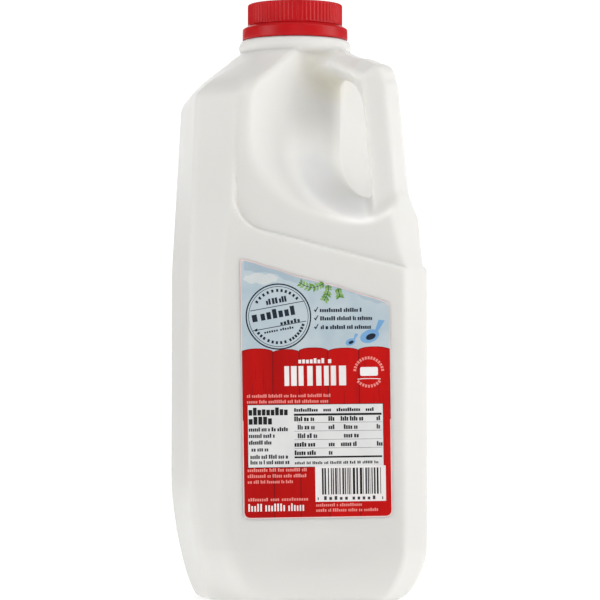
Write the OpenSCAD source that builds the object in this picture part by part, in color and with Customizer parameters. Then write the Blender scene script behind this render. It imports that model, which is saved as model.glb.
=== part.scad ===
// Half-gallon plastic milk jug with a push-on cap, a tamper band and a label.
//
// The body is a square bottle that stands with one corner towards +X. That corner
// carries the handle, and the jug is the same on both sides of the XZ plane.
// The label is on the panel that faces +X and -Y. All sizes are in millimetres.

/* [Body] */
// Distance between opposite sides of the lower body
body_side = 102; // [84:1:124]
// Height of the straight lower body, up to the step above the label
panel_h = 141; // [116:1:170]
// Height of the tapered upper body, from the step up to the shoulder
upper_h = 74; // [66:1:92]
// Height of the sloping shoulder
shoulder_h = 21; // [17:0.5:26]
// How far each side leans in over the upper body
upper_lean = 3.7; // [1:0.1:5]
// How far the handle corner is cut back, along each side
handle_corner = 11.5; // [9:0.5:14]
// How far the two side corners are cut back below the step
side_corner = 13; // [10:0.5:16]
// How far the two side corners are cut back under the shoulder
side_corner_top = 18; // [14:0.5:22]
// Radius of the round back corner
back_r = 21; // [14:1:26]
// Radius that softens every long edge
edge_r = 4; // [2:0.5:6]

/* [Foot] */
// Height at which the two handle-side faces start to curve in to the foot
front_heel_h = 22; // [16:1:27]
// Height at which the two back faces start to curve in to the foot
back_heel_h = 50; // [36:1:60]
// How far the foot stands in from the sides
heel_in = 11; // [8:0.5:14]
// Width of the flat rim that the jug stands on
foot_w = 9; // [6:0.5:12]
// Depth of the hollow under the jug
push_up = 3.5; // [2:0.5:6]

/* [Step above the label] */
// Depth of the step
step_d = 1.8; // [1:0.1:2.6]
// Slope of the step's edge, falling towards the handle
step_slope = 14; // [6:1:20]
// Radius of the step's inner corner
step_r = 11; // [6:1:16]

/* [Handle] */
// Clear gap for the fingers between the body and the bar
finger_gap = 21; // [17.5:0.5:24]
// Width of the bar across the jug
bar_w = 23; // [19:0.5:28]
// Width of the bar's flat outer edge
bar_flat = 9; // [7:0.5:13]
// Depth of the bar from its outer edge to the gap
bar_d = 14; // [11.5:0.5:17]
// How far the bar's outer edge lies inside the body's corner at its lower end
bar_inset = 7; // [6:0.5:9]
// How far the bar leans in from its lower end to its top
bar_lean = 5.5; // [3:0.5:8]
// Height of the ledge that the hand space ends on, above the step
ledge_rise = 20; // [16:0.5:24]
// Thickness of the arm that joins the bar to the neck
arm_d = 11; // [9:0.5:13]
// Slope of the arm, falling from the neck to the bar
arm_slope = 20; // [15:1:23]
// Radius of the hand space's lower inner corner
grip_r = 38; // [30:1:44]
// How far the web on the parting plane stands out of the wall into the gap
web_out = 8; // [5:0.5:10]
// How far the web rises above the ledge
web_rise = 11; // [7:0.5:13]
// How far the web spreads along the wall, to each side
web_half = 20; // [14:1:24]
// Radius of the finger gap's lower inner corner
gap_r = 19; // [14:0.5:22]

/* [Neck] */
// How far the neck stands back from the middle of the body
neck_back = 0.6; // [0:0.2:3]
// Diameter of the round roll at the foot of the neck
roll_d = 49; // [44:0.2:56]
// Height of that roll
roll_h = 6.2; // [5:0.1:8]
// Diameter of the neck inside the cap
neck_d = 37.4; // [31:0.2:38.4]

/* [Cap] */
// Outer diameter of the cap over its ribs
cap_d = 41.2; // [40:0.2:49.6]
// Height of the cap above the tamper band
cap_h = 9.4; // [7.6:0.2:11.4]
// Thickness of the cap's top
cap_top_t = 1.6; // [1.2:0.1:2.2]
// Number of grip ribs round the cap
cap_ribs = 72; // [48:1:96]
// Depth of the grip ribs
rib_d = 0.35; // [0.2:0.05:0.45]
// Round over the cap's top edge
cap_round = 1.1; // [1:0.1:1.6]
// Width added to the cap's diameter by the tamper band
band_out = 4.6; // [3:0.2:5.6]
// Height of the tamper band, with its sloping top
band_h = 6.4; // [5:0.2:8]
// Height of the sloping top of the tamper band
band_slope_h = 1.6; // [1:0.1:2.4]
// Clearance between the neck and the rings round it
neck_gap = 0.2; // [0.1:0.05:0.4]

/* [Label] */
// Bare width left on the panel beside the label
label_margin = 7.1; // [5:0.1:10]
// How far the label's middle lies from the panel's middle, towards the handle
label_shift = 0.8; // [-1:0.1:1]
// Height left bare between the heel and the label
label_lift = 13.3; // [8:0.1:22]
// Height left bare between the label and the step, at the middle of the panel
label_drop = 15.5; // [10:0.5:24]
// Slope of the label's top edge
label_slope = 16.4; // [10:0.2:20]
// How far the label is turned on the panel
label_turn = 0.8; // [0:0.1:1.5]
// Corner radius at the bottom of the label
label_r = 3; // [1:0.5:5]
// Thickness of the label
label_t = 0.3; // [0.2:0.05:0.5]

/* [Hidden] */

half = body_side / 2;
shoulder_z = panel_h + upper_h;
neck_z = shoulder_z + shoulder_h;
roll_top = neck_z + roll_h;
band_d = cap_d + band_out;
cap_bottom = roll_top + band_h;
cap_top = cap_bottom + cap_h;
neck_top = cap_top - cap_top_t;

// Reach of the two end corners from the middle of the square, along X
handle_reach = (body_side - handle_corner) / sqrt(2);
back_reach = half * sqrt(2) - back_r * (sqrt(2) - 1);
// The middle of the square, placed so that the whole jug is centred on the origin
square_x = (back_reach - handle_reach) / 2;
neck_x = square_x - neck_back;

// Steps in each 45 degrees of a soft edge, and in the heel's curve
edge_steps = 3;
heel_steps = 5;
// How round the heel is: 2 is an ellipse, 1 a straight bevel
heel_power = 1.5;
// The round back corner, stated as the bevel that its radius fills
back_bevel = back_r * (2 - sqrt(2));

// Radius in which the shoulder ends, just under the roll
shoulder_top_r = roll_d / 2 - 0.3;
// How far the neck and the roll's foot reach down into the shoulder
neck_root = 3;

// Outer edge of the bar at its two ends, and the wall behind the finger gap
bar_x_low = square_x + handle_reach - bar_inset;
bar_x_high = bar_x_low - bar_lean;
wall_x = bar_x_low - bar_d - finger_gap;
side_wall_x = wall_x - web_out;
ledge_z = panel_h + ledge_rise;
// Height of the arm's middle at the neck, just under the roll
arm_z = neck_z - arm_d / 2 - 0.7;

// Flat width of the label panel, between its corner bevels
panel_left = -(half - side_corner);
panel_right = half - handle_corner;
panel_mid = (panel_left + panel_right) / 2;
label_w = panel_right - panel_left - 2 * label_margin;
label_z = front_heel_h + label_lift;
label_mid_h = panel_h + step_rise(panel_mid) - label_drop - label_z;

function lerp(a, b, t) = a + (b - a) * t;
function dir(angle) = [cos(angle), sin(angle)];

// Height of the step's edge above panel_h, at a place across the panel
function step_rise(across) = (panel_right - across) * tan(step_slope);

// One softened corner of the square: two 45-degree arcs joined by a bevel.
// side is half the square's width, cut the bevel's leg, and r the arcs' radius.
function corner(side, cut, r, angle) =
    let (
        reach = side * sqrt(2) - cut / sqrt(2) - r,
        across = cut / sqrt(2) - r * (sqrt(2) - 1),
        middle = reach * dir(angle),
        offset = across * dir(angle + 90)
    )
    [
        for (i = [0 : edge_steps]) middle - offset + r * dir(angle - 45 + 45 * i / edge_steps),
        for (i = [0 : edge_steps]) middle + offset + r * dir(angle + 45 * i / edge_steps)
    ];

// A section of the body. front and back are the distances of the handle-side
// faces and of the back faces from the middle of the square.
function section(front, back, handle_cut, side_cut, back_cut) =
    let (
        side = (front + back) / 2,
        shift = (front - back) / sqrt(2),
        back_arc = back_cut / (2 - sqrt(2)),
        outline = concat(
            corner(side, handle_cut, min(edge_r, handle_cut), 0),
            corner(side, side_cut, edge_r, 90),
            corner(side, back_cut, back_arc, 180),
            corner(side, side_cut, edge_r, 270)
        )
    )
    [for (p = outline) p + [square_x + shift, 0]];

// A circle with as many points as a section, in the same order
function round_section(r) =
    let (count = 8 * (edge_steps + 1))
    [for (i = [0 : count - 1]) [neck_x, 0] + r * dir(-45 + 360 * (i + 0.5) / count)];

// How far a side has curved in at a height, over a heel that is h high
function heel(z, h) =
    let (t = max(0, 1 - z / h))
    heel_in * (1 - pow(1 - pow(t, heel_power), 1 / heel_power));

function at_height(outline, z) = [for (p = outline) [p.x, p.y, z]];

// Heights of the rings in the heel, closer together near the foot
heel_z = [for (i = [0 : heel_steps]) front_heel_h * pow(i / heel_steps, 1.6)];
back_z = [for (t = [0.3, 0.65, 1]) lerp(front_heel_h, back_heel_h, t)];
// The upper body: share of its height, and how far the handle corner has drawn in
corner_in = 6.6;
upper_rings = [[0.02, 1], [0.10, 3], [0.27, 5.3], [0.36, corner_in], [1, corner_in]];
// The shoulder: share of the way in to the neck, and share of the way up
shoulder_rings = [[0.09, 0.17], [0.21, 0.32], [1, 1]];

function heel_ring(z) =
    let (grow = heel(z, front_heel_h) / heel_in)
    at_height(
        section(
            half - heel(z, front_heel_h),
            half - heel(z, back_heel_h),
            handle_corner * (1 - 0.2 * grow),
            side_corner + 5 * grow,
            back_bevel
        ),
        z
    );

function upper_ring(share, draw_in) =
    let (
        side = half - upper_lean * share,
        cut = handle_corner + sqrt(2) * draw_in - 2 * (half - side),
        side_cut = lerp(side_corner, side_corner_top, min(1, 1.6 * share))
    )
    at_height(section(side, side, cut, side_cut, back_bevel), panel_h + upper_h * share);

function shoulder_ring(inward, up) =
    let (
        side = half - upper_lean,
        cut = handle_corner + sqrt(2) * corner_in - 2 * upper_lean,
        outer = section(side, side, cut, side_corner_top, back_bevel),
        inner = round_section(shoulder_top_r),
        blend = [for (i = [0 : len(outer) - 1]) lerp(outer[i], inner[i], inward)]
    )
    at_height(blend, shoulder_z + shoulder_h * up);

body_rings = concat(
    [for (z = heel_z) heel_ring(z)],
    [for (z = back_z) heel_ring(z)],
    [heel_ring(panel_h)],
    [for (u = upper_rings) upper_ring(u[0], u[1])],
    [for (s = shoulder_rings) shoulder_ring(s[0], s[1])]
);

// The hollow under the jug, inside the flat rim
hollow_rings = [
    for (level = [[-1, -0.5], [0, 0], [push_up, 5]])
        let (side = half - heel_in - foot_w - level[1])
        at_height(section(side, side, handle_corner, side_corner, back_bevel), level[0])
];

// A closed solid through rings that all have the same number of points
module loft(rings) {
    count = len(rings[0]);
    last = len(rings) - 1;
    polyhedron(
        points = [for (ring = rings) each ring],
        faces = concat(
            [[for (i = [0 : count - 1]) i]],
            [[for (i = [0 : count - 1]) last * count + count - 1 - i]],
            [
                for (k = [0 : last - 1])
                    for (i = [0 : count - 1])
                        let (
                            a = k * count + i,
                            b = k * count + (i + 1) % count
                        )
                        each [[a, a + count, b], [b, a + count, b + count]]
            ]
        )
    );
}

// Frame of a handle-side face: X out of the face, Y across it to the handle
module on_face() {
    translate([square_x, 0, 0])
        rotate([0, 0, -45])
            children();
}

// The same thing on both sides of the jug
module both_sides() {
    children();
    mirror([0, 1, 0])
        children();
}

// Cut above the sloping edge of the step, on the face that carries the label
module step_cut() {
    past = panel_right + 20;
    low = step_rise(past);
    left = panel_left + side_corner_top - side_corner;
    tilt = atan(upper_lean / upper_h);
    high = upper_h + shoulder_h;
    on_face()
        translate([half - step_d, 0, panel_h])
            rotate([0, -tilt, 0])
                rotate([90, 0, 90])
                    linear_extrude(20)
                        polygon(concat(
                            [[past, low]],
                            [[past, high]],
                            [[left, high]],
                            step_corner(left)
                        ));
}

// Points round the lower inner corner of the step, from its upright edge to its
// sloping one
function step_corner(left) =
    let (
        turn = 90 - step_slope,
        reach = step_r * tan(turn / 2),
        centre = [left + step_r, step_rise(left) + reach]
    )
    [for (i = [0 : 6]) centre + step_r * dir(180 + turn * i / 6)];

// Outline of the hand space from the side, at a distance from the parting plane:
// an upright wall, a round corner and a level ledge that runs out past the corner
function grip_ring(wall, ledge, r, away) =
    let (
        far = square_x + half * sqrt(2) + 10,
        above = neck_z + 1,
        arc = [for (i = [0 : 14]) [wall + r, ledge + r] + r * dir(180 + 90 * i / 14)],
        outline = concat([[wall, above]], arc, [[far, ledge], [far, above]])
    )
    [for (p = outline) [p.x, away, p.y]];

// The hand space across the whole jug. A web is left on the parting plane, so the
// gap through it is smaller than the space beside it. The steps are the web's
// profile: share of web_half, and share of its full size.
web_steps = [[1, 0], [0.8, 0.07], [0.6, 0.27], [0.4, 0.56], [0.2, 0.87]];
grip_rings = concat(
    [web_ring(half * sqrt(2), 0)],
    [for (w = web_steps) web_ring(w[0] * web_half, w[1])],
    [web_ring(0, 1)],
    [for (i = [len(web_steps) - 1 : -1 : 0]) web_ring(-web_steps[i][0] * web_half, web_steps[i][1])],
    [web_ring(-half * sqrt(2), 0)]
);

// The ring at a distance from the parting plane, where the web has a share of its
// full size
function web_ring(away, share) =
    grip_ring(
        lerp(side_wall_x, wall_x, share),
        lerp(ledge_z, ledge_z + web_rise, share),
        lerp(grip_r, gap_r, share),
        away
    );

// A barrel across the jug: the bar and its arm are hulls of these in a row
module barrel(x, z, depth, width) {
    rim = 0.8;
    flat = bar_flat * width / bar_w;
    translate([x, 0, z])
        rotate([90, 0, 0])
            rotate_extrude($fn = 24)
                polygon([
                    [0, -width / 2],
                    [rim, -width / 2],
                    [depth / 2, -flat / 2],
                    [depth / 2, flat / 2],
                    [rim, width / 2],
                    [0, width / 2]
                ]);
}

// How much narrower than the bar the arm is where it enters the neck
arm_taper = 5;
// Places along the middle of the handle, from inside the neck to inside the body:
// x, z, depth and width
arm_start = wall_x + 4;
arm_end = bar_x_high - bar_d / 2 - 0.8;
arm_mid = lerp(arm_start, arm_end, 0.5);
arm_end_z = arm_height(arm_end);
function arm_height(x) = arm_z - (x - arm_start) * tan(arm_slope);
function bar_place(share) = [
    lerp(bar_x_low, bar_x_high, share) - bar_d / 2,
    lerp(ledge_z + web_rise, arm_end_z - 4, share),
    bar_d,
    bar_w
];
handle_path = [
    [neck_x + 6, arm_z, arm_d, bar_w - arm_taper],
    [arm_start, arm_z, arm_d, bar_w - 0.7 * arm_taper],
    [arm_mid, arm_height(arm_mid), arm_d, bar_w - 0.3 * arm_taper],
    [arm_end, arm_end_z, arm_d + 1, bar_w],
    bar_place(0.97),
    bar_place(0.85),
    bar_place(0.55),
    bar_place(0.25),
    bar_place(0),
    bar_place(-0.25),
    bar_place(-0.6)
];

module handle() {
    for (i = [0 : len(handle_path) - 2])
        hull() {
            barrel(handle_path[i][0], handle_path[i][1], handle_path[i][2], handle_path[i][3]);
            barrel(
                handle_path[i + 1][0],
                handle_path[i + 1][1],
                handle_path[i + 1][2],
                handle_path[i + 1][3]
            );
        }
}

// The neck with its round roll, turned about its own axis
module neck() {
    roll_r = roll_h / 2;
    translate([neck_x, 0, 0])
        rotate_extrude($fn = 64)
            polygon(concat(
                [[0, neck_z - neck_root], [shoulder_top_r - 0.3, neck_z - neck_root]],
                [
                    for (angle = [-75 : 30 : 75])
                        [roll_d / 2 - roll_r, neck_z + roll_r] + roll_r * dir(angle)
                ],
                [[roll_d / 2 - roll_r, roll_top]],
                [[neck_d / 2, roll_top], [neck_d / 2, neck_top], [0, neck_top]]
            ));
}

// Shallow hollow for the fingertips at the bottom of a handle-side face
module heel_hollow() {
    wide = 25;
    tall = 12;
    deep = 4;
    sink = 1.2;
    low = 0.8 * front_heel_h;
    on_face()
        translate([half + deep - sink, panel_mid, low])
            scale([deep, wide, tall])
                sphere(1, $fn = 24);
}

module jug() {
    color("ghostwhite")
        union() {
            difference() {
                loft(body_rings);
                loft(hollow_rings);
                loft(grip_rings);
                both_sides() {
                    step_cut();
                    heel_hollow();
                }
            }
            handle();
            neck();
        }
}

module tamper_band() {
    color("firebrick")
        translate([neck_x, 0, 0])
            rotate_extrude($fn = 96)
                polygon([
                    [neck_d / 2 + neck_gap, roll_top],
                    [band_d / 2, roll_top],
                    [band_d / 2, cap_bottom - band_slope_h],
                    [cap_d / 2, cap_bottom],
                    [neck_d / 2 + neck_gap, cap_bottom]
                ]);
}

// Outline of the cap with its grip ribs
function rib_outline() = [
    for (i = [0 : 2 * cap_ribs - 1])
        (cap_d / 2 - rib_d * (i % 2)) * dir(180 * i / cap_ribs)
];

module cap() {
    r = cap_d / 2;
    // Clear of the ribs' tips, so that only the round edge is cut
    clear = 0.05;
    color("firebrick")
        translate([neck_x, 0, 0])
            difference() {
                intersection() {
                    translate([0, 0, cap_bottom])
                        linear_extrude(cap_h)
                            polygon(rib_outline());
                    translate([0, 0, cap_bottom])
                        rotate_extrude($fn = 96)
                            polygon([
                                [0, 0],
                                [r + clear, 0],
                                [r + clear, cap_h - cap_round - clear],
                                [r - 0.5 * cap_round, cap_h - 0.4 * cap_round],
                                [r - cap_round, cap_h],
                                [0, cap_h]
                            ]);
                }
                translate([0, 0, cap_bottom - 1])
                    cylinder(h = neck_top - cap_bottom + 1, d = neck_d + 2 * neck_gap, $fn = 96);
            }
}

module label() {
    low = -label_mid_h / 2;
    side = label_w / 2;
    rise = side * tan(label_slope);
    top = label_mid_h / 2;
    color("firebrick")
        on_face()
            translate([half, panel_mid + label_shift, label_z - low])
                rotate([label_turn, 0, 0])
                    rotate([90, 0, 90])
                        linear_extrude(label_t)
                            polygon(concat(
                                [[side, top - rise], [-side, top + rise]],
                                label_corner(-side, low, 180),
                                label_corner(side, low, 270)
                            ));
}

// Points round a bottom corner of the label
function label_corner(x, z, angle) = [
    for (i = [0 : 4])
        [x - sign(x) * label_r, z + label_r] + label_r * dir(angle + 90 * i / 4)
];

jug();
tamper_band();
cap();
label();
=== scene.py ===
"""A half-gallon plastic milk jug with a red cap, a tamper band and a printed label.

The jug's outer surface is one rounded distance field, turned into a smooth mesh. The
label's print is flat polygons cut into one sheet. Lengths are in millimetres until
a mesh is made.
"""

import math
import random

import bpy
import numpy as np
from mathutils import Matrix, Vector
from mathutils.geometry import delaunay_2d_cdt


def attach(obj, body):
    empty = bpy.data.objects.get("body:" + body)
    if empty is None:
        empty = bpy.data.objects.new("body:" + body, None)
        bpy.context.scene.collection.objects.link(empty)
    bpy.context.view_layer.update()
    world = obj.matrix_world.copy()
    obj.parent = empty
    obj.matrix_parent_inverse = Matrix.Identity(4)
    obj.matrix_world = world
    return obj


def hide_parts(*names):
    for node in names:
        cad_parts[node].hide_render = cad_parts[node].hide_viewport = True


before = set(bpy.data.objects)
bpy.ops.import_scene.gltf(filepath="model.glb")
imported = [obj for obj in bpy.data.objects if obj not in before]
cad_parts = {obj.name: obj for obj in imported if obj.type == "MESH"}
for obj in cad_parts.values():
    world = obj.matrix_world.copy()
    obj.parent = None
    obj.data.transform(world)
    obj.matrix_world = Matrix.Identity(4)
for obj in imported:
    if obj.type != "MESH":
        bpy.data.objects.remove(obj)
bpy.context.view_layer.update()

MM = 0.001

# ---------------------------------------------------------------- sizes

HALF = 51.0  # half the body's width
PANEL_Z, SHOULDER_Z, NECK_Z = 141.0, 215.0, 236.0
UPPER_LEAN = 3.7
EDGE_SOFT = 1.4  # rounding of the body's upright edges
HANDLE_CUT, SIDE_CUT, SIDE_CUT_TOP = 11.5, 13.0, 18.0
BACK_R = 21.0
HEEL_IN, FRONT_HEEL, BACK_HEEL = 11.0, 22.0, 50.0
PUSH_UP, FOOT_W = 3.5, 9.0
STEP_D, STEP_EDGE, STEP_SLOPE, STEP_R = 1.8, 1.5, math.radians(14), 11.0
ROOT2 = math.sqrt(2)
HANDLE_REACH = (2 * HALF - HANDLE_CUT) / ROOT2
BACK_REACH = HALF * ROOT2 - BACK_R * (ROOT2 - 1)
SQUARE_X = (BACK_REACH - HANDLE_REACH) / 2
NECK_BACK = 0.6
NECK_X = SQUARE_X - NECK_BACK
NECK_R, ROLL_R, ROLL_H = 18.7, 24.5, 6.2
ROLL_TOP = NECK_Z + ROLL_H
BAND_R, BAND_H, BAND_SLOPE = 22.9, 6.4, 1.6
CAP_R, CAP_H, CAP_ROUND = 20.6, 9.4, 0.85
CAP_RIBS, RIB_D = 72, 0.34
SEAT = 0.02  # gap between the red pieces and what they sit on
CAP_Z = ROLL_TOP + BAND_H
PANEL_LEFT, PANEL_RIGHT = -(HALF - SIDE_CUT), HALF - HANDLE_CUT
PANEL_MID = (PANEL_LEFT + PANEL_RIGHT) / 2

# Shallow hollow low on each handle-side face: its middle, then its half depth, width and height
HOLLOW_OUT, HOLLOW_Z = 1.7, 17.6
HOLLOW_SIZE = 4.0, 25.0, 12.0

# The hand space: an upright wall, a round corner and a ledge, and the web in it
BAR_INSET, BAR_LEAN, BAR_D, BAR_HALF_W = 7.0, 5.5, 14.0, 11.5
FINGER_GAP, LEDGE_RISE = 21.0, 20.0
BAR_X_LOW = SQUARE_X + HANDLE_REACH - BAR_INSET
WALL_X = BAR_X_LOW - BAR_D - FINGER_GAP
LEDGE_Z = PANEL_Z + LEDGE_RISE
WEB_OUT, WEB_RISE, WEB_SPREAD = 8.0, 11.0, 10.5
GRIP_R, GAP_R = 38.0, 19.0

# The arm from the neck to the bar
ARM_X0, ARM_X1 = WALL_X + 4, BAR_X_LOW - BAR_LEAN - BAR_D / 2 - 0.8
ARM_HALF_D, ARM_SLOPE = 5.5, math.radians(20)
ARM_Z0 = NECK_Z - ARM_HALF_D - 0.7


# ---------------------------------------------------------------- distance field


def profile(z, knots, soft):
    """A curve through knots of height and value, rounded over about soft mm."""
    fine = np.arange(-20.0, 280.0, 0.1)
    values = np.interp(fine, [k[0] for k in knots], [k[1] for k in knots])
    reach = np.arange(-3 * soft, 3 * soft + 0.05, 0.1)
    bell = np.exp(-0.5 * (reach / soft) ** 2)
    pad = len(bell) // 2
    padded = np.pad(values, pad, mode="edge")
    smooth = np.convolve(padded, bell / bell.sum(), mode="same")[pad:-pad]
    return np.interp(z, fine, smooth)


def smooth_max(a, b, k):
    """The larger of two fields, with a round edge where they meet."""
    h = np.clip(0.5 + 0.5 * (a - b) / k, 0, 1)
    return b + (a - b) * h + k * h * (1 - h)


def smooth_min(a, b, k):
    """The smaller of two fields, with a round corner where they meet."""
    return -smooth_max(-a, -b, k)


def round_corner(a, b, r):
    """Distance outside a quarter of a plane with a round corner, a and b in from its sides."""
    qa, qb = r - a, r - b
    return np.hypot(np.maximum(qa, 0), np.maximum(qb, 0)) + np.minimum(np.maximum(qa, qb), 0) - r


def ease(t):
    """From 0 to 1, level at both ends."""
    return t * t * (3 - 2 * t)


def to_faces(x, y):
    """How far a place is out along the normals of the label's face and of its neighbour."""
    return (x - SQUARE_X - y) / ROOT2, (x - SQUARE_X + y) / ROOT2


def from_faces(p, q):
    """The place that is this far out along the two normals."""
    return SQUARE_X + (p + q) / ROOT2, (q - p) / ROOT2


def heel(z, height):
    """How far a side has curved in at a height, over a heel of a height."""
    t = np.clip(1 - z / height, 0, 1)
    return HEEL_IN * (1 - (1 - t**1.5) ** (2 / 3))


def upper(share):
    """A height in the upper body, by its share of the way up."""
    return PANEL_Z + (SHOULDER_Z - PANEL_Z) * share


def step_depth(across, z):
    """How far a handle-side face is set back by the step above the label."""
    left = PANEL_LEFT + SIDE_CUT_TOP - SIDE_CUT
    above = (z - PANEL_Z - (PANEL_RIGHT - across) * math.tan(STEP_SLOPE)) * math.cos(STEP_SLOPE)
    edge = round_corner(above, across - left, STEP_R)
    return STEP_D * ease(np.clip(0.5 - edge / STEP_EDGE, 0, 1))


def lateral(x, y, z):
    """Distance outside the body's sides, as a stack of sections."""
    p, q = to_faces(x, y)
    lean = profile(z, [(0, 0), (PANEL_Z, 0), (SHOULDER_Z, UPPER_LEAN), (300, UPPER_LEAN)], 1.5)
    z_in = np.clip(z, 0, None)
    front = HALF - lean - heel(z_in, FRONT_HEEL)
    back = HALF - lean - heel(z_in, BACK_HEEL)
    grow = heel(z_in, FRONT_HEEL) / HEEL_IN
    # the handle's corner draws in above the panels
    draws = ((0, 0), (0.02, 1), (0.1, 3), (0.27, 5.3), (0.36, 6.6), (1, 6.6))
    drawn = profile(z, [(upper(share), depth) for share, depth in draws], 2.0)
    reach = ROOT2 * front - HANDLE_CUT * (1 - 0.2 * grow) / ROOT2 + (ROOT2 * lean - drawn)
    side_cut = profile(z, [(PANEL_Z, SIDE_CUT), (upper(0.62), SIDE_CUT_TOP), (300, SIDE_CUT_TOP)], 4.0)
    side_reach = (front + back) / ROOT2 - (side_cut + 5 * grow) / ROOT2
    side_soft = profile(z, [(0, 4.5), (22, 4.5), (60, 1.8), (300, 1.8)], 6.0)
    d = np.maximum(p - front + step_depth(q, z), q - front + step_depth(p, z))
    d = smooth_max(d, x - SQUARE_X - reach, EDGE_SOFT)
    d = smooth_max(d, round_corner(p + back, q + back, BACK_R), EDGE_SOFT)
    d = smooth_max(d, np.abs(y) - side_reach, side_soft)
    # the shoulder draws in to the neck
    rise = NECK_Z - SHOULDER_Z
    draws = ((0, 0), (0.17, 0.09), (0.32, 0.21), (1, 1))
    knots = [(SHOULDER_Z + rise * share, value) for share, value in draws]
    inward = profile(z, knots + [(NECK_Z + 8, 1.5)], 1.3)
    ring = np.hypot(x - NECK_X, y) - (ROLL_R - 0.3)
    steep = profile(z, [(0, 0.85), (3, 1), (SHOULDER_Z, 1), (SHOULDER_Z + 8, 0.5), (300, 0.5)], 1.0)
    return ((1 - inward) * d + inward * ring) * steep


def hand_space(x, y, z):
    """Distance outside the space for the hand, negative in it."""
    t = np.exp(-((y / WEB_SPREAD) ** 2))
    wall = WALL_X - WEB_OUT * (1 - t)
    ledge = LEDGE_Z + WEB_RISE * t
    r = GRIP_R + (GAP_R - GRIP_R) * t
    return round_corner(x - wall, z - ledge, r)


def bar_at(share, top):
    """A place on the middle of the bar, with its half depth and half width there."""
    x = BAR_X_LOW - BAR_LEAN * share - BAR_D / 2
    low = LEDGE_Z + WEB_RISE
    return x, low + (top - 4 - low) * share, BAR_D / 2, BAR_HALF_W


def arm_z(x):
    """Height of the arm's middle line."""
    return ARM_Z0 - (x - ARM_X0) * math.tan(ARM_SLOPE)


# Places along the arm and the bar: x, z, half depth and half width
ARM_MID = (ARM_X0 + ARM_X1) / 2
ARM = [
    (NECK_X + 6, ARM_Z0, ARM_HALF_D, 9.0),
    (ARM_X0, ARM_Z0, ARM_HALF_D, 9.5),
    (ARM_MID, arm_z(ARM_MID), ARM_HALF_D, 10.6),
    (ARM_X1, arm_z(ARM_X1), 6.0, BAR_HALF_W),
]
BAR = [ARM[-1]] + [bar_at(share, arm_z(ARM_X1)) for share in (0.97, 0.5, 0.0, -0.6)]


def sweep(path, x, y, z):
    """Distance outside a six-sided section swept along a path."""
    rim, soft = 0.8, 1.1
    best = np.full(np.shape(x), 1e9)
    for (x0, z0, a0, w0), (x1, z1, a1, w1) in zip(path[:-1], path[1:]):
        dx, dz = x1 - x0, z1 - z0
        t = np.clip(((x - x0) * dx + (z - z0) * dz) / (dx * dx + dz * dz), 0, 1)
        rho = np.hypot(x - x0 - t * dx, z - z0 - t * dz)
        a, w = a0 + (a1 - a0) * t, w0 + (w1 - w0) * t
        # the flat on the side towards the fingers is narrower
        inward = ((x - x0) * dz - (z - z0) * dx) / math.hypot(dx, dz)
        flat = (0.325 - 0.065 * np.clip(inward / 5, -1, 1)) * w
        nx, ny = w - flat, a - rim
        facet = (nx * (rho - a) + ny * (np.abs(y) - flat)) / np.hypot(nx, ny)
        d = smooth_max(smooth_max(rho - a, facet, soft), np.abs(y) - w, soft)
        best = np.minimum(best, d)
    return best


def handle(x, y, z):
    """Distance outside the handle, with a round arch where the arm meets the bar."""
    arch = 1 + 7 * np.clip((ARM_X1 - x) / 5, 0, 1)
    return smooth_min(sweep(ARM, x, y, z), sweep(BAR, x, y, z), arch)


def heel_hollow(out, across, z):
    """Distance inside the shallow hollow low on a handle-side face."""
    deep, wide, tall = HOLLOW_SIZE
    u, v, w = (out - HALF - HOLLOW_OUT) / deep, (across - PANEL_MID) / wide, (z - HOLLOW_Z) / tall
    r = np.sqrt(u * u + v * v + w * w)
    return (1 - r) * deep * np.clip(r, 0.3, None)


def jug_field(x, y, z):
    """The whole jug: body less the hand space, with the handle, the neck and the hollows."""
    d = smooth_max(lateral(x, y, z), z - NECK_Z, 1.0)
    # foot, with the hollow inside its rim
    p, q = to_faces(x, y)
    inner = smooth_max(np.maximum(np.abs(p), np.abs(q)), np.hypot(x - SQUARE_X, y) * 0.84, 6.0)
    t = np.clip((HALF - HEEL_IN - FOOT_W + 2 - inner) / 8, 0, 1)
    d = smooth_max(d, (PUSH_UP * ease(t) - z) * 0.9, 2.0)
    for out, across in ((p, q), (q, p)):
        d = smooth_max(d, heel_hollow(out, across, z), 1.2)
    # the hand space, and the handle across it
    lip = profile(z, [(0, 3.4), (182, 3.4), (205, 2.0), (300, 2.0)], 4.0)
    d = smooth_max(d, -hand_space(x, y, z), lip)
    root = profile(z, [(0, 4), (216, 4), (227, 9), (300, 9)], 2.0)
    d = smooth_min(d, handle(x, y, z), root)
    # neck and roll
    ring = np.hypot(x - NECK_X, y)
    roll = np.hypot(np.maximum(ring - (ROLL_R - ROLL_H / 2), 0), z - NECK_Z - ROLL_H / 2) - ROLL_H / 2
    d = smooth_min(d, roll, 2.0)
    plug = np.maximum(ring - NECK_R, np.maximum(z - CAP_Z - 3, NECK_Z - z))
    return np.minimum(d, plug)


def thin_wall_and_painted_light(x, y, z):
    """Where the blown wall is drawn thin, so that more of the white shows through; the lightening there
    is partly painted light in the hand space's hollow.
    """
    inner = np.clip(1.25 - np.abs(hand_space(x, y, z)) / 2.4, 0, 1)
    inner *= np.clip((212 - z) / 22, 0, 1) * np.clip((sweep(BAR, x, y, z) - 1) / 3, 0, 1)
    # the lightening, partly painted light, is most on the label's side of the web, little behind its
    # crest
    inner *= np.interp(y, [-34, -20, -8, -3, 3, 12, 34], [0, 0.85, 1, 0.8, 0.5, 0.2, 0])
    return ease(inner)


def painted_shade_under_roll(x, y, z):
    """Painted shade, a little yellow, in the hand space's corner under the roll."""
    near = np.clip(1.3 - np.abs(hand_space(x, y, z)) / 5, 0, 1) * np.exp(-((y / 15) ** 2))
    return near * np.clip((z - 212) / 11, 0, 1) * np.clip((NECK_Z + 1 - z) / 3, 0, 1)


# ---------------------------------------------------------------- field to mesh


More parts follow.
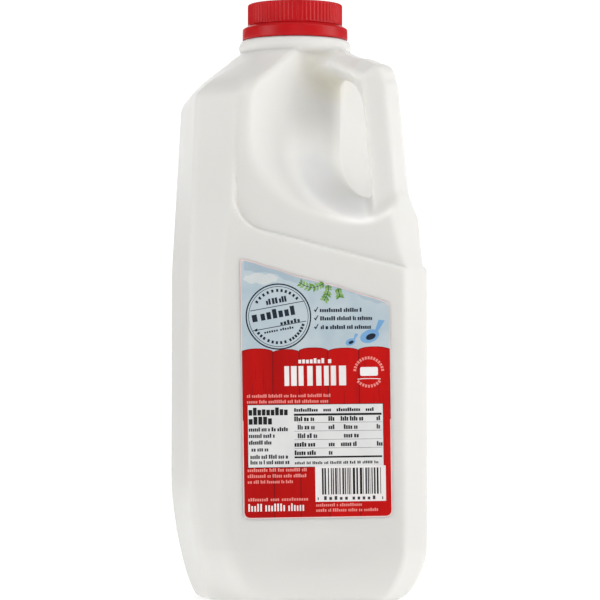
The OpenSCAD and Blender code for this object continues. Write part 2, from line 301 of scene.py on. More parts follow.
def spaced(stops):
    """Grid lines through stops of place and spacing."""
    out = [stops[0][0]]
    for (lo, step), (hi, _) in zip(stops[:-1], stops[1:]):
        n = max(1, round((hi - lo) / step))
        out += [lo + (hi - lo) * (i + 1) / n for i in range(n)]
    return np.array(out)


def surface_net(field, gp, gq, gz):
    """A closed quad mesh on the field's zero surface, over a grid of p, q and z."""
    P, Q, Z = np.meshgrid(gp, gq, gz, indexing="ij")
    F = field(*from_faces(P, Q), Z)
    inside = F < 0
    count = np.zeros(tuple(n - 1 for n in F.shape), np.int8)
    corners = [(i, j, k) for i in (0, 1) for j in (0, 1) for k in (0, 1)]
    view = {}
    for c in corners:
        view[c] = tuple(slice(o, n - 1 + o) for o, n in zip(c, F.shape))
        count += inside[view[c]]
    cells = np.argwhere((count > 0) & (count < 8))
    index = -np.ones(count.shape, np.int64)
    index[tuple(cells.T)] = np.arange(len(cells))
    total, weight = np.zeros((len(cells), 3)), np.zeros(len(cells))
    grid = (gp, gq, gz)
    for axis in range(3):
        for a, b in ((0, 0), (0, 1), (1, 0), (1, 1)):
            lo = [a, b]
            lo.insert(axis, 0)
            hi = list(lo)
            hi[axis] = 1
            i0, i1 = cells + lo, cells + hi
            f0, f1 = F[tuple(i0.T)], F[tuple(i1.T)]
            cross = (f0 < 0) != (f1 < 0)
            t = np.where(cross, f0 / np.where(cross, f0 - f1, 1), 0)
            for m in range(3):
                g0, g1 = grid[m][i0[:, m]], grid[m][i1[:, m]]
                total[:, m] += np.where(cross, g0 + (g1 - g0) * t, 0)
            weight += cross
    verts = total / weight[:, None]
    quads = []
    for axis in range(3):
        lo, hi = [slice(None)] * 3, [slice(None)] * 3
        lo[axis], hi[axis] = slice(0, -1), slice(1, None)
        change = inside[tuple(lo)] != inside[tuple(hi)]
        at = np.argwhere(change)
        u, v = [m for m in range(3) if m != axis]
        for m in (u, v):
            at = at[(at[:, m] > 0) & (at[:, m] < F.shape[m] - 1)]
        ring = []
        for du, dv in ((-1, -1), (0, -1), (0, 0), (-1, 0)):
            c = at.copy()
            c[:, u] += du
            c[:, v] += dv
            ring.append(index[tuple(c.T)])
        ring = np.stack(ring, 1)
        out = inside[tuple(at.T)]
        flip = out if axis == 1 else ~out
        ring[flip] = ring[flip][:, ::-1]
        quads.append(ring)
    x, y = from_faces(verts[:, 0], verts[:, 1])
    return np.stack([x, y, verts[:, 2]], 1), np.concatenate(quads)


def slope_of(field, v, step=0.06):
    """The field's gradient at each place."""
    g = np.zeros_like(v)
    for m in range(3):
        e = np.zeros(3)
        e[m] = step
        g[:, m] = (field(*(v + e).T) - field(*(v - e).T)) / (2 * step)
    return g


def settle(field, v, rounds=2):
    """Moves places on to the field's zero surface."""
    for _ in range(rounds):
        g = slope_of(field, v)
        f = field(*v.T)
        size = np.maximum((g**2).sum(1), 0.05)
        v = v - np.clip(f / size, -1.0, 1.0)[:, None] * g
    return v


def relax(v, quads, field, rounds=2):
    """Evens out the mesh along its surface."""
    edges = np.concatenate([quads[:, [0, 1]], quads[:, [1, 2]], quads[:, [2, 3]], quads[:, [3, 0]]])
    for _ in range(rounds):
        near, n = np.zeros_like(v), np.zeros(len(v))
        for a, b in ((0, 1), (1, 0)):
            for m in range(3):
                near[:, m] += np.bincount(edges[:, a], v[edges[:, b], m], len(v))
            n += np.bincount(edges[:, a], minlength=len(v))
        move = near / n[:, None] - v
        g = slope_of(field, v)
        g /= np.maximum(np.linalg.norm(g, axis=1), 1e-6)[:, None]
        move -= (move * g).sum(1)[:, None] * g
        v = settle(field, v + 0.5 * move, 1)
    return v


def mesh_object(name, verts, faces, smooth=True):
    me = bpy.data.meshes.new(name)
    points = [tuple(map(float, p)) for p in np.asarray(verts) * MM]
    me.from_pydata(points, [], [tuple(map(int, f)) for f in faces])
    me.validate()
    me.update()
    if smooth:
        me.polygons.foreach_set("use_smooth", [True] * len(me.polygons))
    ob = bpy.data.objects.new(name, me)
    bpy.context.scene.collection.objects.link(ob)
    return ob


def jug_piece():
    pitch = 1.1
    gpq = spaced([(-53, pitch), (53, pitch)])
    gz = spaced([(-1.4, 0.8), (3, 1.2), (24, 2.2), (136, 1.0), (245, 1.5), (253.5, 1.5)])
    v, quads = surface_net(jug_field, gpq, gpq, gz)
    v = settle(jug_field, v, 2)
    v = relax(v, quads, jug_field, 2)
    ob = mesh_object("jug_body", v, quads)
    g = slope_of(jug_field, v)
    g /= np.maximum(np.linalg.norm(g, axis=1), 1e-9)[:, None]
    if len(ob.data.vertices) == len(g):
        ob.data.normals_split_custom_set_from_vertices([tuple(n) for n in g])
        # point shares of the lighter tone, partly painted light, and of the painted shade under the
        # roll, for the material
        for name, share in (("thin_and_painted_light", thin_wall_and_painted_light(*v.T)), ("painted_shade", painted_shade_under_roll(*v.T))):
            ob.data.attributes.new(name, "FLOAT", "POINT").data.foreach_set("value", share)
    return ob


# ---------------------------------------------------------------- cap and band


def lathe(name, outline, steps, ribs=None):
    """A closed piece turned round the neck's axis. outline is radius and height, from
    the axis or back to its start, and ribs is how far ribs cut in, by outline point."""
    closed = outline[0][0] > 0
    verts, faces, rows = [], [], []
    for i, (r, z) in enumerate(outline):
        if r == 0:
            rows.append([len(verts)] * steps)
            verts.append((NECK_X, 0, z))
            continue
        row = []
        for s in range(steps):
            turn = 2 * math.pi * s / steps
            cut = ribs[i] * (0.5 - 0.5 * math.cos(turn * CAP_RIBS)) ** 0.7 if ribs else 0
            row.append(len(verts))
            verts.append((NECK_X + (r - cut) * math.cos(turn), (r - cut) * math.sin(turn), z))
        rows.append(row)
    following = rows[1:] + rows[:1] if closed else rows[1:]
    for lower, higher in zip(rows, following):
        for s in range(steps):
            t = (s + 1) % steps
            ring = [lower[s], lower[t], higher[t], higher[s]]
            face = [v for i, v in enumerate(ring) if v != ring[i - 1]]
            if len(face) > 2:
                faces.append(face)
    return mesh_object(name, verts, faces)


def arc(cx, cz, r, start, end, n):
    """Points round a centre, from one angle in degrees to another."""
    turns = [math.radians(start + (end - start) * i / n) for i in range(n + 1)]
    return [(cx + r * math.cos(turn), cz + r * math.sin(turn)) for turn in turns]


def cap_piece():
    top, low, ceiling = CAP_Z + CAP_H, CAP_Z + SEAT, CAP_Z + 7.35
    under = [(0, ceiling), (18.9, ceiling), (19.25, ceiling - 0.35)]
    foot = [(19.4, low), (CAP_R - 0.5, low)] + arc(CAP_R - 0.22, low + 0.2, 0.2, -70, 0, 3)
    side = [(CAP_R - 0.02, low + 0.5), (CAP_R, low + 0.8), (CAP_R, low + 3.5), (CAP_R, top - 1.5)]
    shoulder = arc(CAP_R - CAP_ROUND, top - CAP_ROUND, CAP_ROUND, 12, 90, 6)
    dish = [(17.6, top), (17.2, top - 0.12), (16.9, top - 0.35), (16.5, top - 0.42)]
    dish += [(6.0, top - 0.42), (2.2, top - 0.42), (1.9, top - 0.32), (1.2, top - 0.3), (0, top - 0.3)]
    ribs = [0] * len(under + foot) + [0.12, RIB_D, RIB_D, RIB_D]
    ribs += [0.26, 0.12] + [0] * (len(shoulder + dish) - 2)
    return lathe("cap_shell", under + foot + side + shoulder + dish, CAP_RIBS * 8, ribs)


def band_piece():
    z0, z1 = ROLL_TOP + SEAT, CAP_Z - SEAT
    inner = NECK_R + 0.2
    outline = [(inner, z0), (BAND_R - 0.5, z0)]
    outline += arc(BAND_R - 0.5, z0 + 0.5, 0.5, -60, 0, 3)
    outline += [(BAND_R, z0 + 2.4), (BAND_R - 0.05, z1 - BAND_SLOPE - 0.6)]
    outline += arc(BAND_R - 0.85, z1 - BAND_SLOPE - 0.35, 0.8, 10, 48, 3)
    outline += [(CAP_R + 0.35, z1 - 0.35), (CAP_R + 0.05, z1 - 0.12), (CAP_R - 0.3, z1), (inner, z1)]
    return lathe("band_ring", outline, 240)


# ---------------------------------------------------------------- label

LABEL_W, LABEL_H, LABEL_LOW, LABEL_SHIFT = 63.3, 99.9, 35.3, 0.8
LABEL_RIM, LABEL_THICK = 0.45, 0.27
FOOT = -1.2  # the label's lower edge, in the height that the print is laid out in
LABEL_SLOPE, LABEL_TURN = math.radians(16.4), math.radians(0.8)
BADGE_TILT = math.radians(10)
INKS = []  # painted in order: (ink, points)


def ink(name, points):
    """Adds a patch of ink, anticlockwise, over what is painted already."""
    area = sum(a[0] * b[1] - b[0] * a[1] for a, b in zip(points, points[1:] + points[:1]))
    INKS.append((name, points if area > 0 else points[::-1]))


def turned(x, y, turn, points):
    """Points turned about the origin, then moved to x and y."""
    c, s = math.cos(turn), math.sin(turn)
    return [(x + u * c - v * s, y + u * s + v * c) for u, v in points]


def box(name, x0, y0, x1, y1):
    ink(name, [(x0, y0), (x1, y0), (x1, y1), (x0, y1)])


def disc(name, cx, cy, rx, ry=None, n=48, tilt=0.0):
    ry = ry or rx
    turns = [2 * math.pi * i / n for i in range(n)]
    ink(name, turned(cx, cy, tilt, [(rx * math.cos(a), ry * math.sin(a)) for a in turns]))


def stroke(name, points, width):
    """A line of a width through points."""
    left, right = [], []
    for i, (x, y) in enumerate(points):
        x0, y0 = points[max(i - 1, 0)]
        x1, y1 = points[min(i + 1, len(points) - 1)]
        size = math.hypot(x1 - x0, y1 - y0)
        nx, ny = -(y1 - y0) / size * width / 2, (x1 - x0) / size * width / 2
        left.append((x + nx, y + ny))
        right.append((x - nx, y - ny))
    ink(name, left + right[::-1])


def words(name, x, y, tall, lengths, pitch=0.85, gap=0.75, tilt=0.0, fill=0.7):
    """A line of plain upright bars in groups of these lengths, in place of print."""
    at = 0.0
    for length in lengths:
        n = max(1, round(length / pitch))
        wide = length / n
        for i in range(n):
            high = tall * random.choice((0.72, 0.78, 1.0))
            x0, x1 = at + i * wide, at + i * wide + wide * fill
            ink(name, turned(x, y, tilt, [(x0, 0), (x1, 0), (x1, high), (x0, high)]))
        at += length + gap


def leaf(name, x, y, length, wide, turn):
    """A pointed leaf, from its stalk."""
    shares = [i / 12 for i in range(13)]
    side = [(t * length, 0.5 * wide * math.sin(math.pi * t**0.8)) for t in shares]
    ink(name, turned(x, y, turn, side + [(u, -v) for u, v in side[-2:0:-1]]))


def ring_of_marks(name, cx, cy, r, spans, mark):
    """Copies of a mark round a circle, over spans of first angle, last angle and count."""
    for start, end, n in spans:
        for i in range(n):
            turn = math.radians(start + (end - start) * i / (n - 1))
            ink(name, turned(cx + r * math.cos(turn), cy + r * math.sin(turn), turn, mark))


def edge_round(points, radii, n=6):
    """A polygon with each corner rounded to a radius."""
    out = []
    for i, (x, y) in enumerate(points):
        ax, ay = points[i - 1]
        bx, by = points[(i + 1) % len(points)]
        la, lb = math.hypot(ax - x, ay - y), math.hypot(bx - x, by - y)
        ua, ub = ((ax - x) / la, (ay - y) / la), ((bx - x) / lb, (by - y) / lb)
        half = math.acos(max(-1, min(1, ua[0] * ub[0] + ua[1] * ub[1]))) / 2
        reach = radii[i] / math.tan(half)
        p0 = (x + ua[0] * reach, y + ua[1] * reach)
        p1 = (x + ub[0] * reach, y + ub[1] * reach)
        for k in range(n + 1):
            t = k / n
            w0, w1, w2 = (1 - t) ** 2, 2 * t * (1 - t), t * t
            out.append((w0 * p0[0] + w1 * x + w2 * p1[0], w0 * p0[1] + w1 * y + w2 * p1[1]))
    return out


def top_edge(x):
    """Height of the label's sloping top edge, a little uneven."""
    uneven = 0.22 * math.sin(x / 5.3) + 0.12 * math.sin(x / 2.1)
    return FOOT + LABEL_H + (LABEL_W / 2 - x) * math.tan(LABEL_SLOPE) + uneven


def bank_edge(x):
    """Height of the ragged lower edge of the darker sky."""
    ragged = 0.7 * math.sin(x / 2.7) + 0.35 * math.sin(x / 0.9)
    return top_edge(x) - 1.4 - 2.6 * max(0, 1 - x / 40) - ragged


def draw_film():
    """The film's outline, and the sky inside its thin rim."""
    w, right = LABEL_W, LABEL_W - LABEL_RIM * 0.4
    low = edge_round([(0, FOOT), (w, FOOT), (w, 40), (0, 40)], [3.0, 3.0, 0.01, 0.01])
    low = [p for p in low if p[1] < 39]
    crest = [(w, top_edge(w) - 1.3), (w - 0.25, top_edge(w) - 0.5)]
    crest += [(x, top_edge(x)) for x in np.linspace(w - 1.1, 1.2, 40)]
    crest += [(0.3, top_edge(0) - 0.55), (0, top_edge(0) - 1.6)]
    ink("film", [p for p in low if p[0] > 30] + crest + [p for p in low if p[0] <= 30])
    inner = [(right, top_edge(w) - 1.5), (w - 0.7, top_edge(w) - 0.9)]
    inner += [(x, top_edge(x) - 0.35) for x in np.linspace(w - 1.4, 1.5, 40)]
    inner += [(0.6, top_edge(0) - 1.2), (0.3, top_edge(0) - 2)]
    ink("sky", [(0.3, 60), (right, 60)] + inner)


def draw_clouds():
    """A darker bank of sky along the top, and a pale cloud under its left end."""
    first, last = 1.5, LABEL_W - 2
    bank = [(x, top_edge(x) - 0.4) for x in np.linspace(first, last, 40)]
    ink("sky_dark", bank + [(x, bank_edge(x)) for x in np.linspace(last, first, 60)])
    turns = np.linspace(0, 2 * math.pi, 48)[:-1]
    across = [8.6 + 7.6 * math.cos(t) + 0.5 * math.sin(5 * t) for t in turns]
    up = [99.6 + 2.2 * math.sin(t) + 0.45 * math.cos(7 * t) for t in turns]
    ink("cloud", list(zip(across, up)))


def draw_leaves():
    """Three stems with leaves in pairs."""
    stems = [
        [(35.5, 97.4), (33.5, 96.4), (30.5, 95.5), (27.5, 96.4), (24.9, 97.9)],
        [(37.2, 96.8), (37.3, 94.5), (36.6, 92.2), (35.3, 90.0)],
        [(41.3, 95.4), (41.8, 93.4), (42.2, 91.4)],
    ]
    for points in stems:
        for i, ((x0, y0), (x1, y1)) in enumerate(zip(points[:-1], points[1:])):
            along = math.atan2(y1 - y0, x1 - x0)
            for k, t in enumerate((0.15, 0.6)):
                x, y = x0 + (x1 - x0) * t, y0 + (y1 - y0) * t
                for side in (1, -1):
                    name = "leaf_pale" if (i + k) % 2 else "leaf"
                    leaf(name, x, y, 2.3 if i else 1.9, 1.05, along + side * 0.95)
    for points in stems:
        stroke("stem", points, 0.32)


def draw_badge():
    """Two rings, two slanted rules, plain bars and a ring of blocks."""
    bx, by = 15.9, 83.6
    for name, r in (("navy", 13.95), ("sky", 13.35), ("navy", 12.75), ("badge", 12.5)):
        disc(name, bx, by, r, n=72)
    stroke("navy", [(4.0, 86.0), (27.2, 90.1)], 0.32)
    stroke("navy", [(4.9, 77.6), (27.6, 81.6)], 0.32)
    words("navy", 5.0, 81.2, 3.9, [3.0, 15.4], pitch=2.5, gap=0.7, tilt=BADGE_TILT, fill=0.72)
    words("navy", 16.8, 79.9, 1.7, [8.8], pitch=1.5, tilt=BADGE_TILT)
    words("navy", 9.9, 76.4, 1.1, [6.1, 6.0], pitch=0.95, tilt=BADGE_TILT)
    words("navy", 10.9, 88.4, 2.5, [2.2, 2.6, 3.4], pitch=1.2, gap=0.4, tilt=BADGE_TILT, fill=0.8)
    spans = ((146, 103, 5), (92, 44, 6), (211, 236, 4), (247, 285, 5), (297, 341, 7))
    block = ((-0.62, -0.5), (0.62, -0.5), (0.62, 0.45), (-0.62, 0.45))
    ring_of_marks("navy", bx, by, 11.0, spans, block)


def draw_ticked_lines():
    """Three short lines, each after a tick."""
    tick = [(0, 0.9), (0.4, 1.2), (0.7, 0.8), (1.7, 2.3), (2.0, 2.1), (0.8, -0.1)]
    lines = (
        (33.5, 85.3, [9.6, 6.3, 1.0]),
        (33.6, 81.8, [6.6, 6.2, 1.5, 6.4]),
        (33.8, 78.1, [1.5, 1.4, 6.6, 2.7, 7.2]),
    )
    for x, y, lengths in lines:
        ink("navy", [(30.9 + u, y + v) for u, v in tick])
        words("navy", x, y, 1.75, lengths, pitch=0.95, gap=0.55, fill=0.78)


def draw_ovals():
    """Plain blue shapes where the print has small pictures."""
    tail = [(3.0, 1.2), (6.6, 6.6), (3.9, 6.9), (2.4, 2.6)]
    for x, y, size in ((54.6, 75.0, 1.0), (46.4, 72.6, 0.52)):
        disc("blue", x, y, 4.2 * size, 2.7 * size, 32, 0.35)
        disc("navy", x + 0.5 * size, y - 0.2 * size, 2.2 * size, 1.25 * size, 24, 0.35)
        ink("blue", [(x + u * size, y + v * size) for u, v in tail])


def picket_top(i, x0, x1, top):
    """A picket's arched top, from right to left. Every second one droops a little."""
    droop = 0.25 * (i % 2)
    return [(x1 - (x1 - x0) * t, top - abs(2 * t - 1) ** 2.6 - droop * t) for t in np.linspace(0, 1, 17)]


def draw_fence():
    """Red pickets with arched tops over dark gaps, and streaks of grain."""
    left, right, base, gap = LABEL_RIM, LABEL_W - LABEL_RIM, FOOT + LABEL_RIM, 0.28
    pickets = [(0.5, 12.9, 70.0), (13.5, 24.2, 69.7), (24.7, 36.4, 70.2), (36.9, 49.6, 70.1)]
    pickets += [(50.1, right, 70.4)]
    for i, (x0, x1, top) in enumerate(pickets):
        outline = picket_top(i, x0 - gap, x1 + gap, top + gap)
        ink("red_dark", [(x0 - gap, 40), (x1 + gap, 40)] + outline)
    back = [(left, base), (right, base), (right, 69.0), (left, 69.0)]
    ink("red_dark", edge_round(back, [2.7, 2.7, 0.2, 0.2]))
    corner = [(0, 2.5), (0.5, 0.95), (1.4, 0.25), (2.6, 0)]  # as the label's lower corners
    for i, (x0, x1, top) in enumerate(pickets):
        foot = [(x0 + u, base + v) for u, v in corner] if i == 0 else [(x0, base)]
        if i == len(pickets) - 1:
            foot += [(x1 - u, base + v) for u, v in corner[::-1]]
        else:
            foot += [(x1, base)]
        ink("red" if i < 3 else "red_bright", foot + picket_top(i, x0, x1, top))
    for x0, x1, top in pickets:
        for _ in range(9):
            x = random.uniform(x0 + 0.7, x1 - 0.7)
            y = random.uniform(2, 58)
            long, wide = random.uniform(6, 24), random.uniform(0.12, 0.34)
            long = min(long, top - 2 - y)
            streak = ((0, 0), (wide, 0.3 * long), (0.7 * wide, long), (-0.1, 0.6 * long))
            ink("red_streak", [(x + u, y + v) for u, v in streak])


def draw_title():
    """White bars where the large words are, and a plain emblem beside them."""
    words("white", 24.1, 63.8, 2.1, [11.4, 1.9], pitch=1.75, gap=1.2, fill=0.72)
    bars = [(18.1, 20.1), (20.9, 23.3), (24.1, 26.2), (27.8, 30.1)]
    bars += [(31.6, 33.8), (34.9, 36.9), (37.8, 40.0), (41.3, 44.3)]
    for x0, x1 in bars:
        box("white", x0, 54.4, x1, 62.7)
    mark = ((-0.6, -0.42), (0.6, -0.42), (0.6, 0.4), (-0.6, 0.4))
    ring_of_marks("pink", 54.0, 59.9, 6.0, ((172, 8, 15), (222, 318, 9)), mark)
    ink("white", edge_round([(50.3, 58.3), (57.9, 58.3), (57.9, 62.0), (50.3, 62.0)], [0.8] * 4, 4))
    stroke("white", [(49.2, 56.9), (51.5, 57.1), (54.2, 57.15), (57.0, 57.1), (59.0, 56.9)], 0.3)
    words("pink", 2.1, 49.6, 1.35, [1.6, 6.4, 6.0, 2.2, 2.8, 3.4, 6.2, 3.2], pitch=0.8, gap=0.55)
    words("pink", 2.1, 47.2, 1.35, [4.6, 3.4, 7.6, 2.4, 2.6, 7.2, 3.6], pitch=0.8, gap=0.55)


def draw_table():
    """A framed table of bars, with a column of its own on the left."""
    box("black", 2.1, 20.1, 60.0, 46.7)
    box("paper", 2.35, 20.35, 59.75, 46.45)
    words("black", 2.7, 42.1, 3.3, [16.9], pitch=1.85, fill=0.82)
    words("black", 2.7, 38.3, 3.3, [10.2], pitch=1.95, fill=0.82)
    for x, y, lengths, name in (
        (2.7, 35.4, [4.9, 2.3, 0.9, 2.0, 4.6], "black"),
        (2.7, 32.7, [5.6, 3.6, 0.9], "grey"),
        (2.7, 29.9, [6.0, 3.2], "black"),
        (3.7, 27.0, [2.0, 2.6, 1.7], "grey"),
        (3.2, 23.9, [4.2, 2.6, 3.6, 2.6, 1.2], "grey"),
        (3.2, 21.6, [3.2, 1.4, 0.7, 3.0, 4.0, 1.9], "grey"),
    ):
        words(name, x, y, 1.75, lengths, pitch=0.85, gap=0.5, fill=0.78)
    left, right, rule = 21.9, 59.2, 0.14
    headings = [10.2, 0.01, 3.4, 0.01, 10.2, 0.01, 3.6]
    words("black", 22.0, 43.5, 1.5, headings, pitch=0.9, gap=1.1, fill=0.8)
    box("black", left, 41.8, right, 42.7)
    plain, inset = (22.0, 36.5, 41.7, 57.0), (23.4, 36.5, 43.0, 57.0)
    rows = (  # height, ink, columns, lengths by column, and where the rule below starts
        (39.5, "black", plain, ([3.6, 2.2, 1.7], [2.7], [3.4, 3.4, 1.9], [1.7]), 23.4),
        (36.0, "grey", inset, ([2.4, 2.2, 1.7], [2.7], [3.8, 1.7], [1.6]), left),
        (32.4, "grey", inset, ([3.4, 2.2, 1.7], [], [3.8, 2.2], []), left),
        (28.8, "black", plain, ([5.2, 3.2], [2.7], [4.6, 1.7], [2.6]), left),
        (25.3, "black", plain, ([4.8, 3.8], [1.7], [], []), None),
    )
    for y, name, columns, parts, start in rows:
        for x, lengths in zip(columns, parts):
            words(name, x, y, 2.0, lengths, pitch=0.95, gap=0.55, fill=0.8)
        if start is not None:
            box("grey", start, y - 0.58 - rule, right, y - 0.58)
    box("black", left, 24.0, right, 24.75)
    note = [4.4, 1.9, 4.4, 1.9, 5.0, 2.2, 2.6, 1.6, 4.4, 1.9]
    words("black", 22.0, 21.4, 1.2, note, pitch=0.75, gap=0.6)


def draw_small_print():
    """Lines under the table, on the left."""
    words("pink", 2.0, 18.5, 1.45, [8.6, 3.0, 2.8, 6.2, 2.2], pitch=0.85, gap=0.6)
    words("pink", 2.0, 16.0, 1.45, [7.8, 1.6, 4.2, 3.6, 5.6], pitch=0.85, gap=0.55)
    words("pink", 2.0, 13.6, 1.35, [2.0, 2.4, 2.2, 5.6, 1.4, 3.2], pitch=0.85, gap=0.5)
    words("pink", 2.1, 6.2, 1.35, [8.6, 3.8, 11.4], pitch=1.0, gap=0.9)
    words("white", 2.1, 1.9, 3.2, [6.3, 8.9, 7.2], pitch=1.25, gap=0.85, fill=0.55)


def draw_stripes():
    """A white box with a made-up run of stripes, and the lines under it."""
    box("white", 30.6, 5.6, 60.6, 20.5)
    x, right = 33.4, 59.0
    while x < right - 0.4:
        wide = random.choice((0.28, 0.28, 0.5, 0.75, 1.0))
        name = "black" if random.random() < 0.6 else "grey"
        box(name, x, 8.6, min(x + wide, right), 19.7)
        x += wide + random.choice((0.3, 0.3, 0.5, 0.75))
    words("grey", 31.5, 6.3, 1.6, [0.9, 0.01, 11.2, 10.8, 0.01, 0.9], pitch=2.1, gap=0.9, fill=0.5)
    words("pink", 30.8, 3.6, 1.3, [8.2, 0.7, 9.6], pitch=0.85, gap=0.6)
    words("pink", 30.8, 1.4, 1.3, [4.6, 1.4, 6.0, 4.0, 1.6, 6.2], pitch=0.85, gap=0.55)


def draw_label():
    random.seed(7)
    draw_film()
    draw_clouds()
    draw_leaves()
    draw_badge()
    draw_ticked_lines()
    draw_ovals()
    draw_fence()
    draw_title()
    draw_table()
    draw_small_print()
    draw_stripes()


def on_panel(x, y, out):
    """A place on the label, given from its lower left corner, as a place on the jug."""
    u, v = x - LABEL_W / 2, y - FOOT - LABEL_H / 2
    [(across, z)] = turned(PANEL_MID + LABEL_SHIFT, LABEL_LOW + LABEL_H / 2, LABEL_TURN, [(u, v)])
    return (*from_faces(HALF + out, across), z)


def label_piece():
    """One thin closed sheet whose face is cut along the print's outlines."""
    draw_label()
    verts, loops = [], []
    for _, points in INKS:
        start = len(verts)
        verts += [Vector((float(x), float(y))) for x, y in points]
        loops.append(list(range(start, len(verts))))
    flat, _, tris, _, _, source = delaunay_2d_cdt(verts, [], loops, 1, 1e-4, True)
    names = sorted({n for n, _ in INKS})
    kept, inks = [], []
    for tri, inside in zip(tris, source):
        if inside:
            kept.append(list(tri))
            inks.append(names.index(INKS[max(inside)][0]))
    n = len(flat)
    points = [on_panel(p.x, p.y, out) for out in (LABEL_THICK, 0.0) for p in flat]
    sides = dict.fromkeys((a, b) for tri in kept for a, b in zip(tri, tri[1:] + tri[:1]))
    rim = [(a, b) for a, b in sides if (b, a) not in sides]
    faces = kept + [[v + n for v in tri[::-1]] for tri in kept] + [[b, a, a + n, b + n] for a, b in rim]
    film = names.index("film")
    ob = mesh_object("label_sheet", points, faces, smooth=False)
    slots = inks + [film] * (len(kept) + len(rim))
    return ob, names, slots


# ---------------------------------------------------------------- materials


def tone(r, g, b):
    """A colour given as the eye reads it, 0 to 255, in the shader's linear terms."""
    out = []
    for v in (r, g, b):
        v /= 255
        out.append(v / 12.92 if v <= 0.04045 else ((v + 0.055) / 1.055) ** 2.4)
    return (*out, 1.0)


class Nodes:
    """A material's node tree, built a node at a time."""

    def __init__(self, name):
        self.mat = bpy.data.materials.new(name)
        self.mat.use_nodes = True
        self.tree = self.mat.node_tree
        self.shader = self.tree.nodes["Principled BSDF"]
        self.where = self.add("ShaderNodeTexCoord").outputs["Object"]

    def add(self, kind, **sockets):
        node = self.tree.nodes.new(kind)
        for key, value in sockets.items():
            node.inputs[key.replace("_", " ")].default_value = value
        return node

    def link(self, a, b):
        self.tree.links.new(a, b)

    def noise(self, scale, detail=3.0, rough=0.5, stretch=None):
        node = self.add("ShaderNodeTexNoise", Scale=scale, Detail=detail, Roughness=rough)
        where = self.where
        if stretch:
            place = self.add("ShaderNodeMapping")
            place.inputs["Scale"].default_value = stretch
            self.link(where, place.inputs["Vector"])
            where = place.outputs["Vector"]
        self.link(where, node.inputs["Vector"])
        return node.outputs["Fac"]

    def ramp(self, fac, stops):
        node = self.add("ShaderNodeValToRGB")
        marks = node.color_ramp.elements
        while len(marks) < len(stops):
            marks.new(0.5)
        for mark, (at, colour) in zip(marks, stops):
            mark.position, mark.color = at, colour
        self.link(fac, node.inputs["Fac"])
        return node.outputs["Color"]

    def attribute(self, name):
        node = self.add("ShaderNodeAttribute")
        node.attribute_name = name
        return node.outputs["Fac"]

    def mix(self, share, a, b):
        """From colour a to colour b. A mix node's colours are its inputs 6 and 7."""
        node = self.add("ShaderNodeMix")
        node.data_type = "RGBA"
        self.link(share, node.inputs["Factor"])
        self.link(a, node.inputs[6])
        self.link(b, node.inputs[7])
        return node.outputs[2]

    def spread(self, fac, lo, hi, start=0.0, end=1.0):
        """From lo to hi, as fac goes from start to end."""
        node = self.add("ShaderNodeMapRange")
        node.inputs["From Min"].default_value, node.inputs["From Max"].default_value = start, end
        node.inputs["To Min"].default_value, node.inputs["To Max"].default_value = lo, hi
        self.link(fac, node.inputs["Value"])
        return node.outputs["Result"]

    def bump(self, height, strength, distance, under=None):
        node = self.add("ShaderNodeBump", Strength=strength, Distance=distance)
        self.link(height, node.inputs["Height"])
        if under:
            self.link(under, node.inputs["Normal"])
        return node.outputs["Normal"]

    def set(self, **sockets):
        for key, value in sockets.items():
            self.shader.inputs[key.replace("_", " ")].default_value = value


def milky_plastic():
    """Satin plastic full of milk, lighter where the wall is thin and where light is painted into the
    hand space, and with painted yellowish shade under the roll.
    """
    m = Nodes("milky_plastic_hdpe")
    m.set(IOR=1.5, Specular_IOR_Level=0.12)
    m.set(Subsurface_Weight=1.0, Subsurface_Radius=(1.0, 0.94, 0.86), Subsurface_Scale=0.004)
    drift = m.noise(14, 2.0)
    plain = m.ramp(drift, [(0.3, tone(218, 217, 213)), (0.7, tone(221, 220, 217))])
    # lighter tones, partly for the thin wall and partly painted light in the hand space
    thin_and_painted_light = m.ramp(drift, [(0.3, tone(249, 248, 244)), (0.7, tone(251, 250, 247))])
    # darker yellowish tones, painted shade under the roll
    painted_shade = m.ramp(drift, [(0.3, tone(212, 208, 192)), (0.7, tone(216, 212, 197))])
    colour = m.mix(m.attribute("painted_shade"), m.mix(m.attribute("thin_and_painted_light"), plain, thin_and_painted_light), painted_shade)
    m.link(colour, m.shader.inputs["Base Color"])
    m.link(m.spread(m.noise(60, 3.0), 0.34, 0.46), m.shader.inputs["Roughness"])
    wave = m.bump(m.noise(22, 1.0), 0.12, 0.002)
    grain = m.bump(m.noise(900, 2.0), 0.05, 0.0004, wave)
    m.link(grain, m.shader.inputs["Normal"])
    return m.mat


def red_plastic():
    m = Nodes("red_plastic_moulded")
    m.set(IOR=1.5, Specular_IOR_Level=0.22)
    m.set(Subsurface_Weight=0.1, Subsurface_Radius=(1.0, 0.25, 0.2), Subsurface_Scale=0.0012)
    colour = m.ramp(m.noise(120, 3.0), [(0.3, tone(178, 4, 12)), (0.7, tone(188, 8, 17))])
    m.link(colour, m.shader.inputs["Base Color"])
    m.link(m.spread(m.noise(300, 3.0), 0.3, 0.42), m.shader.inputs["Roughness"])
    m.link(m.bump(m.noise(1400, 2.0), 0.08, 0.0003), m.shader.inputs["Normal"])
    return m.mat


